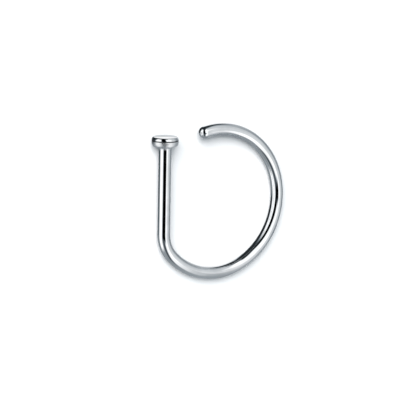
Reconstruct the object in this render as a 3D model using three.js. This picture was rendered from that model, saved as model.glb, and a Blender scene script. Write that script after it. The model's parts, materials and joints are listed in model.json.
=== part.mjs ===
// A D-shaped nose hoop of polished surgical steel, made from one length of round wire.
// One end carries a flat disc, and the other is rounded over. From the disc the wire runs straight down as
// a post, turns a tight corner, and goes round in a wide open loop that stops a short gap before the disc.
// The hoop lies on its side on a flat surface, on the disc's rim and on the wire across from it.
//
// Millimetres, +Z up. The origin is the middle of the hoop's bounding box, on the surface it lies on.
// +X runs from the post towards the far side of the loop, and +Y along the post, towards the disc.

import * as THREE from "three";
import { mergeVertices } from "three/addons/utils/BufferGeometryUtils.js";

// The wire, and the route of its centreline
const WIRE_DIAMETER = 0.8; // 20 gauge
const POST_LENGTH = 5.62; // straight, from the corner to the disc's underside
const CORNER_RADIUS = 2.25;
const CORNER_TURN = THREE.MathUtils.degToRad(44);
const LOOP_RADIUS = 4.75;
const TIP_GAP = 1.75; // clear across the opening, from the disc's rim to the rounded tip

// The disc on the end of the post. It is widest where the crown round its flat face meets the taper below.
// A fullness of 2 makes an elliptical edge, and more makes it squarer.
const DISC_DIAMETER = 1.71;
const CROWN_WIDTH = 0.12;
const CROWN_DEPTH = 0.25;
const CROWN_FULLNESS = 1.8;
const TAPER_WIDTH = 0.355;
const TAPER_DEPTH = 0.465;
const TAPER_FULLNESS = 2.7;
const WELD_FILLET = 0.05; // between the post and the disc's underside

// How finely the round surfaces are divided
const SIDES = 32;
const ROUTE_STEP = THREE.MathUtils.degToRad(4);
const DOME_STEPS = 6;
const EDGE_STEPS = 6;
const FILLET_STEPS = 2;

const STEEL = { color: 0xd7dade, roughness: 0.06, metalness: 1 };

const wireRadius = WIRE_DIAMETER / 2;
const discRadius = DISC_DIAMETER / 2;
const overhang = discRadius - wireRadius;
const weldFillet = Math.min(WELD_FILLET, overhang);
const crownWidth = Math.min(CROWN_WIDTH, discRadius - weldFillet);
const taperWidth = Math.min(TAPER_WIDTH, overhang - weldFillet);
const discThickness = CROWN_DEPTH + TAPER_DEPTH;

// The direction at an angle from +X in the hoop's plane.
function heading(angle) {
  return new THREE.Vector2(Math.cos(angle), Math.sin(angle));
}

// The centreline in the hoop's plane: x across the loop, y along the post, and the corner starts at the origin.
const SIDEWAYS = Math.PI / 2;
const cornerCentre = new THREE.Vector2(CORNER_RADIUS, 0);
const loopCentre = cornerCentre
  .clone()
  .addScaledVector(heading(CORNER_TURN), LOOP_RADIUS - CORNER_RADIUS);
const loopStart = Math.PI + CORNER_TURN; // angles are seen from the arc's own centre
const tipAcross = discRadius + TIP_GAP + wireRadius;
const tipAngle = 2 * Math.PI + Math.acos((tipAcross - loopCentre.x) / LOOP_RADIUS);
const loopTurn = tipAngle - loopStart;

// Each stretch runs towards the tip, and gives a place and a direction at a share of its length.
const post = {
  length: POST_LENGTH,
  at: (share) => ({
    place: new THREE.Vector2(0, POST_LENGTH * (1 - share)),
    along: heading(-SIDEWAYS),
  }),
};

function arc(centre, radius, start, turn) {
  return {
    length: radius * turn,
    at: (share) => {
      const angle = start + turn * share;
      return {
        place: centre.clone().addScaledVector(heading(angle), radius),
        along: heading(angle + SIDEWAYS),
      };
    },
  };
}

const corner = arc(cornerCentre, CORNER_RADIUS, Math.PI, CORNER_TURN);
const loop = arc(loopCentre, LOOP_RADIUS, loopStart, loopTurn);

// The place and direction at a distance from the disc's underside. It goes straight on past both ends.
function routeAt(distance) {
  let start = 0;
  for (const stretch of [post, corner, loop]) {
    const last = stretch === loop;
    if (distance <= start + stretch.length || last) {
      const share = THREE.MathUtils.clamp((distance - start) / stretch.length, 0, 1);
      const { place, along } = stretch.at(share);
      const beyond = distance - start - share * stretch.length;
      return { place: place.addScaledVector(along, beyond), along };
    }
    start += stretch.length;
  }
}

// Distances from just past the start of a stretch to its end, in equal steps.
function stations(start, length, steps) {
  return Array.from({ length: steps }, (_, i) => start + (length * (i + 1)) / steps);
}

// A quarter of a round or squarish outline in the profile, about its own centre, without its first point.
function quarter(centre, width, depth, start, turn, steps, fullness = 2) {
  const squared = (share) => Math.sign(share) * Math.abs(share) ** (2 / fullness);
  return Array.from({ length: steps }, (_, i) => {
    const angle = start + (turn * (i + 1)) / steps;
    const across = width * squared(Math.cos(angle));
    const along = depth * squared(Math.sin(angle));
    return new THREE.Vector2(centre.x + across, centre.y + along);
  });
}

// The wire as it is before bending: a straight pin with a disc for a head. x is the radius, and y the distance
// from the disc's underside towards the tip, so the disc lies below 0.
function pinProfile() {
  const crown = new THREE.Vector2(discRadius - crownWidth, -TAPER_DEPTH);
  const taper = new THREE.Vector2(discRadius - taperWidth, -TAPER_DEPTH);
  const weld = new THREE.Vector2(wireRadius + weldFillet, weldFillet);
  const tip = new THREE.Vector2(0, post.length + corner.length + loop.length);
  const right = Math.PI / 2;
  const round = (turn) => Math.ceil(turn / ROUTE_STEP);
  const wire = [
    ...stations(0, post.length, 1),
    ...stations(post.length, corner.length, round(CORNER_TURN)),
    ...stations(post.length + corner.length, loop.length, round(loopTurn)),
  ].map((distance) => new THREE.Vector2(wireRadius, distance));
  return [
    new THREE.Vector2(0, -discThickness),
    new THREE.Vector2(crown.x, -discThickness),
    ...quarter(crown, crownWidth, CROWN_DEPTH, -right, right, EDGE_STEPS, CROWN_FULLNESS),
    ...quarter(taper, taperWidth, TAPER_DEPTH, 0, right, EDGE_STEPS, TAPER_FULLNESS),
    new THREE.Vector2(weld.x, 0),
    ...quarter(weld, weldFillet, weldFillet, -right, -right, FILLET_STEPS),
    ...wire,
    ...quarter(tip, wireRadius, wireRadius, 0, right, DOME_STEPS).slice(0, -1),
    new THREE.Vector2(0, tip.y + wireRadius),
  ];
}

// Bends the straight pin round the route, each cross-section staying square to it.
function bend(pin) {
  const position = pin.getAttribute("position");
  for (let i = 0; i < position.count; i++) {
    const { place, along } = routeAt(position.getY(i));
    const outward = position.getX(i);
    position.setXY(i, place.x + along.y * outward, place.y - along.x * outward);
  }
  return pin;
}

// One closed skin with shared vertices.
function closed(geometry) {
  geometry.deleteAttribute("normal");
  geometry.deleteAttribute("uv");
  const whole = mergeVertices(geometry);
  whole.computeVertexNormals();
  return whole;
}

function noseHoop() {
  const pin = new THREE.LatheGeometry(pinProfile(), SIDES);
  const mesh = new THREE.Mesh(closed(bend(pin)), new THREE.MeshStandardMaterial(STEEL));
  mesh.name = "nose_hoop";
  return mesh;
}

// The middle of an arc's weight.
function arcMiddle(centre, radius, start, turn) {
  const half = turn / 2;
  return centre.clone().addScaledVector(heading(start + half), (radius * Math.sin(half)) / half);
}

// The centre of weight, in the hoop's plane, with the disc taken as a plain cylinder.
function weightCentre() {
  const section = Math.PI * wireRadius ** 2;
  const lumps = [
    [section * post.length, new THREE.Vector2(0, POST_LENGTH / 2)],
    [section * corner.length, arcMiddle(cornerCentre, CORNER_RADIUS, Math.PI, CORNER_TURN)],
    [section * loop.length, arcMiddle(loopCentre, LOOP_RADIUS, loopStart, loopTurn)],
    [
      Math.PI * discRadius ** 2 * discThickness,
      new THREE.Vector2(0, POST_LENGTH + discThickness / 2),
    ],
  ];
  const total = lumps.reduce((sum, [weight]) => sum + weight, 0);
  const centre = new THREE.Vector2();
  for (const [weight, place] of lumps) centre.addScaledVector(place, weight / total);
  return centre;
}

// The upward normal of the surface that the hoop rests on, in the hoop's own frame. Lying on its side it touches
// at the disc's rim, and at the loop where a line from there through the centre of weight meets the wire.
function restingNormal() {
  const rim = new THREE.Vector2(0, POST_LENGTH + TAPER_DEPTH);
  const middle = weightCentre();
  const across = middle.clone().sub(rim).normalize();
  const offset = middle.clone().sub(loopCentre);
  const lean = across.dot(offset);
  const reach = -lean + Math.sqrt(lean ** 2 - offset.lengthSq() + LOOP_RADIUS ** 2);
  const touch = middle.clone().addScaledVector(across, reach);
  const uphill = touch.clone().sub(loopCentre).normalize();
  const slope = (discRadius - wireRadius) / uphill.dot(touch.clone().sub(rim));
  return new THREE.Vector3(-uphill.x * slope, -uphill.y * slope, 1).normalize();
}

const hoop = noseHoop();
hoop.quaternion.setFromUnitVectors(restingNormal(), new THREE.Vector3(0, 0, 1));

const group = new THREE.Group();
group.add(hoop);
const box = new THREE.Box3().setFromObject(hoop, true);
const middle = box.getCenter(new THREE.Vector3());
hoop.position.set(-middle.x, -middle.y, -box.min.z);

export default group;
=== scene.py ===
"""A nose hoop of polished steel wire, lying on its side on a white table in a soft studio.

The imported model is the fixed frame. Its faceted hoop is replaced by a fine mesh of the same form, and the
script adds the steel, the table, the lamp, the studio and the camera. Lengths are in metres.
"""

import json
import math

import bpy
import numpy as np
from mathutils import Matrix, Vector


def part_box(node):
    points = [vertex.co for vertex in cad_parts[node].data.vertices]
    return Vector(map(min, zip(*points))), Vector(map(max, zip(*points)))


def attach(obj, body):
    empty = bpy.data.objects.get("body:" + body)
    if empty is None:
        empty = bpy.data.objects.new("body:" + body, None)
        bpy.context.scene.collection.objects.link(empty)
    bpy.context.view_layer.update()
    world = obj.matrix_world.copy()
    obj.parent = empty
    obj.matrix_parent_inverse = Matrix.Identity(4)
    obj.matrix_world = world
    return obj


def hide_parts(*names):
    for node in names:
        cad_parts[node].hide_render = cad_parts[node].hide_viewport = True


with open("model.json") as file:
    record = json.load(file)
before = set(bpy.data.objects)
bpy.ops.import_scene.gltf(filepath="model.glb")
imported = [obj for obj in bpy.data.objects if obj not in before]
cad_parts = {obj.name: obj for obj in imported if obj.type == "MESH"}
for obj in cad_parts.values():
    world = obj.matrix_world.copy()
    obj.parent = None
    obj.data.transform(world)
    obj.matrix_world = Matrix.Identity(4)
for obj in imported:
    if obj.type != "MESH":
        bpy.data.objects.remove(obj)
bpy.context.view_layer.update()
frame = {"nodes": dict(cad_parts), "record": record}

MM = 0.001
NODE = "nose_hoop"

# The wire, and the route of its centreline
WIRE_RADIUS = 0.4 * MM
POST_LENGTH = 5.62 * MM
CORNER_RADIUS = 2.25 * MM
CORNER_TURN = math.radians(44)
LOOP_RADIUS = 4.75 * MM
TIP_GAP = 1.75 * MM

# The disc on the end of the post, widest at a fine seam between the crown round its face and the taper below.
# A fullness of 2 makes an elliptical edge, and more makes it squarer.
DISC_RADIUS = 0.855 * MM
FACE_DROP = 0.02 * MM  # from the middle of the face to its edge
CROWN_WIDTH = 0.12 * MM
CROWN_DEPTH = 0.25 * MM
CROWN_FULLNESS = 1.8
SEAM_WIDTH = 0.06 * MM
SEAM_DEPTH = 0.03 * MM
TAPER_WIDTH = 0.355 * MM
TAPER_DEPTH = 0.465 * MM
TAPER_FULLNESS = 2.7
WELD_FILLET = 0.05 * MM

# How finely the hoop is divided
SIDES = 96
POST_STEP = 0.2 * MM
ROUTE_STEP = math.radians(1)
EDGE_STEPS = 20
FACE_STEPS = 8
FILLET_STEPS = 5
DOME_STEPS = 20

# The camera, seen from the hoop standing on its corner with its post upright
VIEW_YAW = math.radians(33.6)
VIEW_PITCH = math.radians(11.4)
VIEW_ROLL = math.radians(-1.2)
VIEW_TARGET = Vector((4.0, 2.0, 0.0)) * MM  # across the loop, along the post, out of the hoop's plane
VIEW_DISTANCE = 133.3 * MM
FRAME_PIXELS = 416
PIXELS_PER_MM = 15.376
TARGET_PIXEL = (216.4, 197.4)
SENSOR_MM = 36
CLIP_RANGE = (1 * MM, 10)

# The studio that the steel mirrors, as soft-edged panels in degrees: azimuth from the camera towards the
# right, and elevation towards the disc. Later panels cover earlier ones.
ROOM_LIGHT = 0.3
PANEL_COLUMNS = ("name", "azimuth", "elevation", "half_width", "half_height", "soft", "lean", "light")
PANELS = (
    ("left_low", -120, -50, 68, 12, 11, -0.5, 0.37),
    ("back_wall", 184, 5, 33, 9, 6, 0, 0.72),
    ("back_high", 184, 23, 37, 11, 3, 0, 1.25),
    ("back_dark", 137, 43, 14, 28, 10, 0.3, 0.07),
    ("back_low", 176, -34, 15, 7, 5, 0.7, 0.78),
    ("right_wall", 163, 39, 24, 20, 16, -0.8, 0.49),
    ("left_dark", -131, 43, 36, 55, 6, 0.14, 0.03),
    ("left_box", -57, 0, 28, 46, 8, 0.14, 1.3),
    ("right_side", 80, 15, 23, 67, 15, 0, 0.71),
    ("right_box", 40, 4, 29, 66, 8, -0.12, 1.25),
    ("right_haze", 68, 2, 9, 21, 5, 0, 0.8),
    ("flag_low", 0, -44, 20, 32, 10, 0, 0.09),
    ("camera_flag", -8.5, 48, 21.5, 57, 5, -0.15, 0.0),
    ("flag_foot", 3, -14, 27, 7, 3, -0.2, 0.0),
    ("back_top", 168, 75, 24, 28, 4, 0, 0.02),
    ("top_dark", -85, 76, 125, 21, 7, 0, 0.02),
    ("top_right", 95, 84, 55, 17, 4, 0, 0.08),
)

WHITE = (1, 1, 1, 1)
COOL = (0.78, 1.0, 1.17, 1)  # the tint of the darkest panels and of the table's shadow

# The steel's finish. Grain sizes are in repeats per millimetre of wire, across it twice and along it.
STEEL_DARK = (0.765, 0.78, 0.795, 1)
STEEL_LIGHT = (0.85, 0.865, 0.88, 1)
STEEL_ROUGHNESS = (0.02, 0.06)
TONE_SCALE = 1.1
TONE_RANGE = (0.3, 0.7)  # of the noise, from the dark steel to the light
DRAWN_LINES = (9.0, 9.0, 0.45)
DRAWN_GRAIN = (4.0, 0.6)  # the noise's detail and its roughness
DRAWN_SHARE = 0.6
POLISH_LINES = (1.6, 1.6, 22.0)
POLISH_GRAIN = (3.0, 0.55)
POLISH_SHARE = 0.4
LINES_RANGE = (0.35, 0.65)  # of the noise, from the smoothest steel to the roughest
LINE_HEIGHT = 0.00018 * MM
WAVINESS_SCALE = 0.7
WAVINESS_DETAIL = 1.0
WAVE_HEIGHT = 0.0022 * MM

# The disc's seam, which is rough and painted near-black as painted shade in its groove, and the finish of its
# taper and weld, which are less polished. A range gives where the finish starts and where it is full, in
# millimetres from the seam's middle or along the hoop.
# painted shade: the seam's colour is near-black where its groove would be shaded
SEAM_PAINTED_SHADE = (0.07, 0.075, 0.08, 1)
SEAM_ROUGHNESS = 0.5
SEAM_RANGE = (0.05, 0.025)
UNDERSIDE_ROUGHNESS = 0.38
UNDERSIDE_START = (-TAPER_DEPTH / MM, (-TAPER_DEPTH + SEAM_WIDTH) / MM)
UNDERSIDE_END = (4 * WELD_FILLET / MM, WELD_FILLET / MM)

# The table, and the lamp that lights it from behind the camera
TABLE_HALF = 0.6
TABLE_WHITE = (0.9, 0.9, 0.9, 1)
TABLE_ROUGHNESS = 0.7
TABLE_FILL = 0.2  # the studio's light on the table, which fills its shadows
LAMP_RISE = math.radians(15)  # above the camera, seen from the hoop
LAMP_SPREAD = math.radians(42)
LAMP_POWER = 4.2

# A glowing grey card that the hoop's lowest bend mirrors, a painted reflection of the table's shadow round
# that bend. It covers most in its middle and fades outwards.
CARD_HALF = 5 * MM
CARD_DROP = 0.05 * MM
CARD_FADE = (4.8 * MM, 0.5 * MM)
CARD_COVER = 0.85
CARD_SHADOW_LIGHT = 0.4
CARD_SHADOW_TINT = (0.92, 1.0, 1.06, 1)

# The colour sockets of a Mix node
MIX_FIRST = 6
MIX_SECOND = 7
MIX_RESULT = 2


def heading(angle):
    return np.array((math.cos(angle), math.sin(angle)))


def arc_at(centre, radius, angle):
    """The place and direction on an arc at an angle seen from its centre."""
    return centre + radius * heading(angle), heading(angle + math.pi / 2)


CORNER_CENTRE = np.array((CORNER_RADIUS, 0.0))
LOOP_CENTRE = CORNER_CENTRE + (LOOP_RADIUS - CORNER_RADIUS) * heading(CORNER_TURN)
LOOP_START = math.pi + CORNER_TURN
TIP_ACROSS = DISC_RADIUS + TIP_GAP + WIRE_RADIUS
TIP_ANGLE = 2 * math.pi + math.acos((TIP_ACROSS - LOOP_CENTRE[0]) / LOOP_RADIUS)
CORNER_END = POST_LENGTH + CORNER_RADIUS * CORNER_TURN
ROUTE_END = CORNER_END + LOOP_RADIUS * (TIP_ANGLE - LOOP_START)


def route_at(distance):
    """The centreline's place and direction at a distance from the disc's underside."""
    if distance <= POST_LENGTH:
        return np.array((0.0, POST_LENGTH - distance)), np.array((0.0, -1.0))
    if distance <= CORNER_END:
        return arc_at(CORNER_CENTRE, CORNER_RADIUS, math.pi + (distance - POST_LENGTH) / CORNER_RADIUS)
    angle = LOOP_START + (min(distance, ROUTE_END) - CORNER_END) / LOOP_RADIUS
    place, along = arc_at(LOOP_CENTRE, LOOP_RADIUS, angle)
    return place + along * max(distance - ROUTE_END, 0.0), along


def quarter(radial, distance, width, depth, start, turn, steps, fullness=2):
    """A quarter of a squarish ellipse in the profile, about its own centre, with both ends."""
    angles = np.linspace(start, start + turn, steps + 1)
    across, up = (np.sign(s) * np.abs(s) ** (2 / fullness) for s in (np.cos(angles), np.sin(angles)))
    return list(zip(radial + width * across, distance + depth * up))


def pin_profile():
    """Radius and distance along the hoop as a straight pin, from the disc's face to the tip."""
    right = math.pi / 2
    face = -TAPER_DEPTH - CROWN_DEPTH
    face_radius = DISC_RADIUS - CROWN_WIDTH
    crown_end = -TAPER_DEPTH - SEAM_WIDTH / 2
    taper_start = -TAPER_DEPTH + SEAM_WIDTH / 2
    crown_depth = crown_end - face - FACE_DROP
    seat = DISC_RADIUS - TAPER_WIDTH
    foot = WIRE_RADIUS + WELD_FILLET
    shares = np.linspace(0, 1, FACE_STEPS, endpoint=False)
    post = np.arange(WELD_FILLET + POST_STEP, POST_LENGTH, POST_STEP)
    corner_steps = round(CORNER_TURN / ROUTE_STEP)
    loop_steps = round((TIP_ANGLE - LOOP_START) / ROUTE_STEP)
    corner = np.linspace(POST_LENGTH, CORNER_END, corner_steps + 1)
    loop = np.linspace(CORNER_END, ROUTE_END, loop_steps + 1)
    return [
        *[(face_radius * share, face + FACE_DROP * share**2) for share in shares],
        *quarter(face_radius, crown_end, CROWN_WIDTH, crown_depth, -right, right, EDGE_STEPS, CROWN_FULLNESS),
        (DISC_RADIUS - SEAM_DEPTH, -TAPER_DEPTH),
        *quarter(seat, taper_start, TAPER_WIDTH, -taper_start, 0, right, EDGE_STEPS, TAPER_FULLNESS),
        *quarter(foot, WELD_FILLET, WELD_FILLET, WELD_FILLET, -right, -right, FILLET_STEPS),
        *[(WIRE_RADIUS, distance) for distance in (*post, *corner, *loop[1:-1])],
        *quarter(0, ROUTE_END, WIRE_RADIUS, WIRE_RADIUS, 0, right, DOME_STEPS)[:-1],
        (0.0, ROUTE_END + WIRE_RADIUS),
    ]


def hoop_mesh():
    """The pin turned and bent round the route, in the hoop's own frame."""
    angles = np.linspace(0, 2 * math.pi, SIDES, endpoint=False)
    points, pin_points, rings = [], [], []
    for radius, distance in pin_profile():
        place, along = route_at(distance)
        ring = []
        for angle in angles if radius else angles[:1]:
            outward, lift = radius * math.cos(angle), radius * math.sin(angle)
            ring.append(len(points))
            points.append((place[0] + along[1] * outward, place[1] - along[0] * outward, lift))
            pin_points.append((outward / MM, lift / MM, distance / MM))
        rings.append(ring)
    faces = []
    for lower, upper in zip(rings, rings[1:]):
        for i in range(SIDES):
            j = (i + 1) % SIDES
            if len(lower) == 1:
                faces.append((lower[0], upper[i], upper[j]))
            elif len(upper) == 1:
                faces.append((lower[j], lower[i], upper[0]))
            else:
                faces.append((lower[j], lower[i], upper[i], upper[j]))
    mesh = bpy.data.meshes.new("hoop")
    mesh.from_pydata(points, [], faces)
    mesh.shade_smooth()
    pin = mesh.attributes.new("pin_mm", "FLOAT_VECTOR", "POINT")
    pin.data.foreach_set("vector", np.array(pin_points, np.float32).ravel())
    return mesh


def hoop_axes():
    """The hoop's axes as it lies: across the loop, along the post, and out of its plane."""
    corners = np.array([v.co for v in frame["nodes"][NODE].data.vertices])
    spread = np.linalg.svd(corners - corners.mean(0), full_matrices=False)[2]
    out = Vector(spread[2])
    if out.z < 0:
        out.negate()
    disc_face = next(m for m in frame["record"]["mounts"] if m["name"] == "disc_face")
    along = Vector(disc_face["axis"])
    along = (along - along.dot(out) * out).normalized()
    return Matrix((along.cross(out), along, out)).transposed()


def box_of(mesh):
    corners = np.array([v.co for v in mesh.vertices])
    return Vector(corners.min(0)), Vector(corners.max(0))


def make_hoop(axes):
    """The fine hoop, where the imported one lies. Also gives the place of its own origin."""
    mesh = hoop_mesh()
    mesh.transform(axes.to_4x4())
    low, high = box_of(mesh)
    node_low, node_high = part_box(NODE)
    place = (node_low + node_high - low - high) / 2
    place.z = node_low.z - low.z
    mesh.transform(Matrix.Translation(place))
    hoop = bpy.data.objects.new("polished_hoop", mesh)
    bpy.context.scene.collection.objects.link(hoop)
    return hoop, place


class Nodes:
    """Short ways to add and join shader nodes in one tree."""

    def __init__(self, tree):
        self.tree = tree
        self.tree.nodes.clear()

    def add(self, kind, inputs=None, **settings):
        node = self.tree.nodes.new(kind)
        for key, value in settings.items():
            setattr(node, key, value)
        for key, value in (inputs or {}).items():
            self.put(value, node.inputs[key])
        return node

    def put(self, value, socket):
        if isinstance(value, bpy.types.NodeSocket):
            self.tree.links.new(value, socket)
        else:
            socket.default_value = value

    def math(self, operation, *values):
        return self.add("ShaderNodeMath", dict(enumerate(values)), operation=operation).outputs[0]

    def dot(self, vector, fixed):
        inputs = {0: vector, 1: tuple(fixed)}
        return self.add("ShaderNodeVectorMath", inputs, operation="DOT_PRODUCT").outputs["Value"]

    def ramp(self, value, low, high, to_low=0.0, to_high=1.0):
        """Goes smoothly from to_low at low to to_high at high."""
        inputs = {"Value": value, "From Min": low, "From Max": high, "To Min": to_low, "To Max": to_high}
        node = self.add("ShaderNodeMapRange", inputs, interpolation_type="SMOOTHSTEP")
        return node.outputs["Result"]

    def blend(self, share, first, second):
        inputs = {"Factor": share, "A": first, "B": second}
        return self.add("ShaderNodeMix", inputs, data_type="FLOAT").outputs[0]

    def tinted(self, share, first, second):
        inputs = {"Factor": share, MIX_FIRST: first, MIX_SECOND: second}
        return self.add("ShaderNodeMix", inputs, data_type="RGBA").outputs[MIX_RESULT]

    def noise(self, vector, scale, detail=3.0, roughness=0.5):
        inputs = {"Vector": vector, "Scale": scale, "Detail": detail, "Roughness": roughness}
        return self.add("ShaderNodeTexNoise", inputs).outputs["Fac"]

    def stretched(self, vector, scales):
        return self.add("ShaderNodeMapping", {"Vector": vector, "Scale": scales}).outputs["Vector"]


def steel():
    """Mirror-polished wire: faint drawn lines along it, finer polishing marks round it, and a slight wave.

    The disc's seam is rough and painted near-black, as painted shade in its groove, and its underside is
    duller.
    """
    material = bpy.data.materials.new("polished_steel")
    material.use_nodes = True
    n = Nodes(material.node_tree)
    pin = n.add("ShaderNodeAttribute", attribute_name="pin_mm").outputs["Vector"]
    drawn = n.noise(n.stretched(pin, DRAWN_LINES), 1.0, *DRAWN_GRAIN)
    polish = n.noise(n.stretched(pin, POLISH_LINES), 1.0, *POLISH_GRAIN)
    tone = n.noise(pin, TONE_SCALE)
    wave = n.noise(pin, WAVINESS_SCALE, WAVINESS_DETAIL)
    lines = n.math("ADD", n.math("MULTIPLY", drawn, DRAWN_SHARE), n.math("MULTIPLY", polish, POLISH_SHARE))
    colour = n.tinted(n.ramp(tone, *TONE_RANGE), STEEL_DARK, STEEL_LIGHT)
    fine = n.add("ShaderNodeBump", {"Height": lines, "Distance": LINE_HEIGHT})
    broad = n.add("ShaderNodeBump", {"Height": wave, "Distance": WAVE_HEIGHT})
    distance = n.add("ShaderNodeSeparateXYZ", {"Vector": pin}).outputs["Z"]
    below_seam = n.ramp(distance, *UNDERSIDE_START)
    above_post = n.ramp(distance, *UNDERSIDE_END)
    underside = n.math("MULTIPLY", below_seam, above_post)
    from_seam = n.math("ABSOLUTE", n.math("ADD", distance, TAPER_DEPTH / MM))
    # painted shade: this mask paints the seam's groove near-black and also makes it rough
    seam = n.ramp(from_seam, *SEAM_RANGE)
    polished = n.ramp(lines, *LINES_RANGE, *STEEL_ROUGHNESS)
    roughness = n.blend(underside, polished, UNDERSIDE_ROUGHNESS)
    n.put(broad.outputs["Normal"], fine.inputs["Normal"])
    shader = n.add(
        "ShaderNodeBsdfPrincipled",
        {
            "Base Color": n.tinted(seam, colour, SEAM_PAINTED_SHADE),
            "Metallic": 1.0,
            "Roughness": n.blend(seam, roughness, SEAM_ROUGHNESS),
            "Normal": fine.outputs["Normal"],
        },
    )
    n.add("ShaderNodeOutputMaterial", {"Surface": shader.outputs[0]})
    return material


def make_table():
    """A plain white table top, kept out of the steel's reflections, which the studio's panels make."""
    mesh = bpy.data.meshes.new("table")
    corners = [(x * TABLE_HALF, y * TABLE_HALF, 0) for x, y in ((-1, -1), (1, -1), (1, 1), (-1, 1))]
    mesh.from_pydata(corners, [], [(0, 1, 2, 3)])
    material = bpy.data.materials.new("table_white")
    material.use_nodes = True
    n = Nodes(material.node_tree)
    inputs = {"Base Color": TABLE_WHITE, "Roughness": TABLE_ROUGHNESS, "Specular IOR Level": 0.0}
    shader = n.add("ShaderNodeBsdfPrincipled", inputs)
    n.add("ShaderNodeOutputMaterial", {"Surface": shader.outputs[0]})
    mesh.materials.append(material)
    table = bpy.data.objects.new("table", mesh)
    bpy.context.scene.collection.objects.link(table)
    table.visible_glossy = False


def make_shadow_card(axes, place):
    """A glowing grey card at the hoop's lowest bend, square to the post and seen only in the steel: a painted
    reflection of the table's shadow there.
    """
    mesh = bpy.data.meshes.new("painted_shadow_card")
    corners = [(x * CARD_HALF, 0, z * CARD_HALF) for x, z in ((-1, -1), (1, -1), (1, 1), (-1, 1))]
    mesh.from_pydata(corners, [], [(0, 1, 2, 3)])
    material = bpy.data.materials.new("painted_shadow_card")
    material.use_nodes = True
    n = Nodes(material.node_tree)
    spot = n.add("ShaderNodeTexCoord").outputs["Object"]
    from_middle = n.add("ShaderNodeVectorMath", {0: spot}, operation="LENGTH").outputs["Value"]
    clear = n.add("ShaderNodeBsdfTransparent")
    # painted shadow: the card glows grey for the steel to mirror in place of the table's shadow, which the
    # steel doesn't see
    grey = n.add("ShaderNodeEmission", {"Color": CARD_SHADOW_TINT, "Strength": CARD_SHADOW_LIGHT})
    cover = n.ramp(from_middle, *CARD_FADE, to_high=CARD_COVER)
    inputs = {0: cover, 1: clear.outputs[0], 2: grey.outputs[0]}
    n.add("ShaderNodeOutputMaterial", {"Surface": n.add("ShaderNodeMixShader", inputs).outputs[0]})
    mesh.materials.append(material)
    card = bpy.data.objects.new("painted_shadow_card", mesh)
    lowest = Vector((LOOP_CENTRE[0], LOOP_CENTRE[1] - LOOP_RADIUS - WIRE_RADIUS - CARD_DROP, 0))
    card.matrix_world = Matrix.Translation(place + axes @ lowest) @ axes.to_4x4()
    bpy.context.scene.collection.objects.link(card)
    card.visible_camera = False
    card.visible_diffuse = False
    card.visible_shadow = False


def make_lamp(facing):
    """A soft lamp behind the camera and above it, for the table alone."""
    data = bpy.data.lights.new("key_lamp", "SUN")
    data.energy = LAMP_POWER
    data.angle = LAMP_SPREAD
    lamp = bpy.data.objects.new("key_lamp", data)
    lamp.matrix_world = facing.to_4x4() @ Matrix.Rotation(-LAMP_RISE, 4, "X")
    lamp.visible_glossy = False
    bpy.context.scene.collection.objects.link(lamp)


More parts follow.
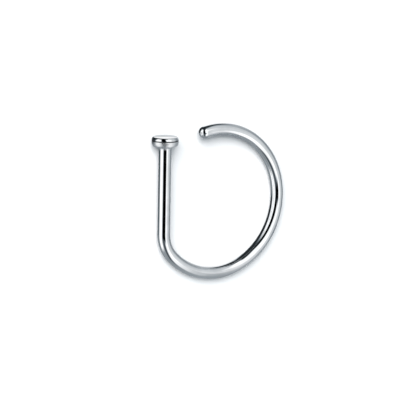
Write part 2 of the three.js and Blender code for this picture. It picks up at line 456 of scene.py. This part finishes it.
def make_studio(axes):
    """The panels round the hoop, as the world's light.

    The table gets a plain fill instead of them, and the camera sees plain white behind it.
    """
    right, up, toward = (axes @ Matrix.Rotation(VIEW_YAW, 3, "Y").transposed()).col
    world = bpy.data.worlds.new("studio")
    world.use_nodes = True
    bpy.context.scene.world = world
    n = Nodes(world.node_tree)
    ray = n.add("ShaderNodeTexCoord").outputs["Generated"]
    azimuth = n.math("ARCTAN2", n.dot(ray, right), n.dot(ray, toward))
    elevation = n.math("ARCSINE", n.dot(ray, up))
    light = ROOM_LIGHT
    for row in PANELS:
        panel = dict(zip(PANEL_COLUMNS, row))
        angle = {k: math.radians(v) for k, v in panel.items() if k not in ("name", "lean", "light")}
        shift = n.math("MULTIPLY_ADD", elevation, -panel["lean"], -angle["azimuth"])
        sideways = n.math("WRAP", n.math("ADD", azimuth, shift), math.pi, -math.pi)
        upward = n.math("SUBTRACT", elevation, angle["elevation"])
        inside = []
        for offset, half in ((sideways, angle["half_width"]), (upward, angle["half_height"])):
            edge = (half + angle["soft"], half - angle["soft"])
            inside.append(n.ramp(n.math("ABSOLUTE", offset), *edge))
        light = n.blend(n.math("MULTIPLY", *inside), light, panel["light"])
    tint = n.tinted(n.math("SQRT", light), COOL, WHITE)
    world_light = n.add("ShaderNodeBackground", {"Color": tint, "Strength": light})
    rays = n.add("ShaderNodeLightPath").outputs
    for kind, colour, strength in (("Is Diffuse Ray", COOL, TABLE_FILL), ("Is Camera Ray", WHITE, 1.0)):
        plain = n.add("ShaderNodeBackground", {"Color": colour, "Strength": strength})
        inputs = {0: rays[kind], 1: world_light.outputs[0], 2: plain.outputs[0]}
        world_light = n.add("ShaderNodeMixShader", inputs)
    n.add("ShaderNodeOutputWorld", {"Surface": world_light.outputs[0]})


def camera_facing(axes):
    """The camera's axes: right, up and backwards."""
    yaw = Matrix.Rotation(VIEW_YAW, 3, "Y")
    pitch = Matrix.Rotation(VIEW_PITCH, 3, "X")
    roll = Matrix.Rotation(VIEW_ROLL, 3, "Z")
    return axes @ (roll @ pitch @ yaw).transposed()


def make_camera(axes, place, facing):
    """The camera at the photograph's angle to the hoop, its distance and its framing."""
    data = bpy.data.cameras.new("camera")
    data.sensor_width = SENSOR_MM
    data.lens = SENSOR_MM * (VIEW_DISTANCE / MM) * PIXELS_PER_MM / FRAME_PIXELS
    data.shift_x = (FRAME_PIXELS / 2 - TARGET_PIXEL[0]) / FRAME_PIXELS
    data.shift_y = (TARGET_PIXEL[1] - FRAME_PIXELS / 2) / FRAME_PIXELS
    data.clip_start, data.clip_end = CLIP_RANGE
    camera = bpy.data.objects.new("camera", data)
    stand = place + axes @ VIEW_TARGET + facing.col[2] * VIEW_DISTANCE
    camera.matrix_world = Matrix.Translation(stand) @ facing.to_4x4()
    bpy.context.scene.collection.objects.link(camera)
    bpy.context.scene.camera = camera


bpy.context.scene.view_settings.view_transform = "Standard"
axes = hoop_axes()
hoop, place = make_hoop(axes)
hoop.data.materials.append(steel())
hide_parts(NODE)
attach(hoop, "root")

facing = camera_facing(axes)
make_camera(axes, place, facing)
make_table()
make_shadow_card(axes, place)
make_lamp(facing)
make_studio(axes)
